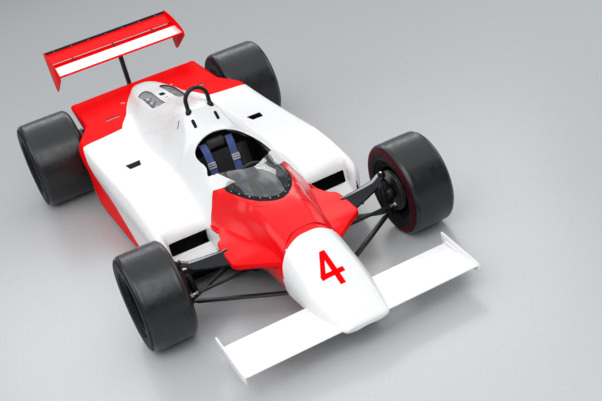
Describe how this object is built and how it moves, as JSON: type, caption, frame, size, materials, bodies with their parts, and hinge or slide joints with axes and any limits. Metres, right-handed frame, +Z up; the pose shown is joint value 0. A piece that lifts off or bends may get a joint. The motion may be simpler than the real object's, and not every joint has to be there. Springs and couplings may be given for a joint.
{
  "type": "open wheel racing car",
  "caption": "Single seat open wheel racing car with wide sidepods, low front wing, high rear wing, slick tyres, steered front wheels and rolling wheels.",
  "frame": {"origin": "on the ground under the middle of the overall box", "axes": "+X forward to the nose, +Y to the driver's left, +Z up"},
  "size_m": [4.37, 2.084, 1.0319],
  "materials": {
    "red_paint": "gloss paint on moulded panels",
    "white_paint": "gloss paint on moulded panels",
    "screen": "smoked clear sheet",
    "black_panel": "satin black",
    "alloy": "satin",
    "steel": "bright plated",
    "disc": "turned",
    "black_metal": "satin black",
    "wheel_black": "satin black with bright lips",
    "pad": "matt",
    "belt": "woven webbing",
    "grip": "matt",
    "tyre": "slick rubber"
  },
  "bodies": {
    "chassis": {"monocoque": "red_paint", "nose_cone": "white_paint", "front_wing": "white_paint", "front_wing_endplates": "white_paint", "suspension_fairings": "red_paint", "windscreen": "screen", "cockpit_surround": "white_paint", "engine_cover": "white_paint", "sidepod_left": "white_paint", "sidepod_right": "white_paint", "rear_deck": "red_paint", "underfloor": "black_panel", "radiators": "alloy", "seat": "black_panel", "headrest": "pad", "shoulder_belts": "belt", "roll_hoop": "black_metal", "engine": "alloy", "gearbox": "alloy", "intake_trumpets": "alloy", "rear_wing_main": "red_paint", "rear_wing_flap": "red_paint", "rear_wing_endplates": "red_paint", "rear_wing_post": "black_metal", "front_rocker_arms": "steel", "front_lower_wishbones": "black_metal", "rear_uprights": "alloy", "rear_suspension_arms": "black_metal"},
    "knuckle_left": {"front_upright_left": "black_metal"},
    "knuckle_right": {"front_upright_right": "black_metal"},
    "wheel_front_left": {"tyre_front_left": "tyre", "rim_front_left": "wheel_black", "brake_disc_front_left": "disc"},
    "wheel_front_right": {"tyre_front_right": "tyre", "rim_front_right": "wheel_black", "brake_disc_front_right": "disc"},
    "wheel_rear_left": {"tyre_rear_left": "tyre", "rim_rear_left": "wheel_black", "driveshaft_left": "steel"},
    "wheel_rear_right": {"tyre_rear_right": "tyre", "rim_rear_right": "wheel_black", "driveshaft_right": "steel"},
    "rack": {"steering_rack": "black_metal"},
    "hand_wheel": {"steering_wheel": "grip"}
  },
  "joints": [
    {"name": "steer_left", "type": "hinge", "parent": "chassis", "child": "knuckle_left", "pos_m": [1.222, 0.7, 0.303], "axis": [0, 0, 1], "range_deg": [-18, 18]},
    {"name": "steer_right", "type": "hinge", "parent": "chassis", "child": "knuckle_right", "pos_m": [1.222, -0.7, 0.303], "axis": [0, 0, 1], "range_deg": [-18, 18]},
    {"name": "rack_slide", "type": "slide", "parent": "chassis", "child": "rack", "axis": [0, 1, 0], "range_m": [-0.04, 0.04]},
    {"name": "hand_wheel_turn", "type": "hinge", "parent": "chassis", "child": "hand_wheel", "pos_m": [0.855, 0, 0.593], "axis": [-0.9659, 0, 0.2589], "range_deg": [-180, 180]},
    {"name": "spin_front_left", "type": "hinge", "parent": "knuckle_left", "child": "wheel_front_left", "pos_m": [1.222, 0.8835, 0.303], "axis": [0, 1, 0], "continuous": true},
    {"name": "spin_front_right", "type": "hinge", "parent": "knuckle_right", "child": "wheel_front_right", "pos_m": [1.222, -0.8835, 0.303], "axis": [0, 1, 0], "continuous": true},
    {"name": "spin_rear_left", "type": "hinge", "parent": "chassis", "child": "wheel_rear_left", "pos_m": [-1.445, 0.832, 0.341], "axis": [0, 1, 0], "continuous": true},
    {"name": "spin_rear_right", "type": "hinge", "parent": "chassis", "child": "wheel_rear_right", "pos_m": [-1.445, -0.832, 0.341], "axis": [0, 1, 0], "continuous": true}
  ],
  "couplings": [
    {"joint": "steer_right", "follows": "steer_left", "ratio": 1},
    {"joint": "rack_slide", "follows": "steer_left", "m_per_rad": 0.11},
    {"joint": "hand_wheel_turn", "follows": "steer_left", "ratio": 9.9}
  ]
}
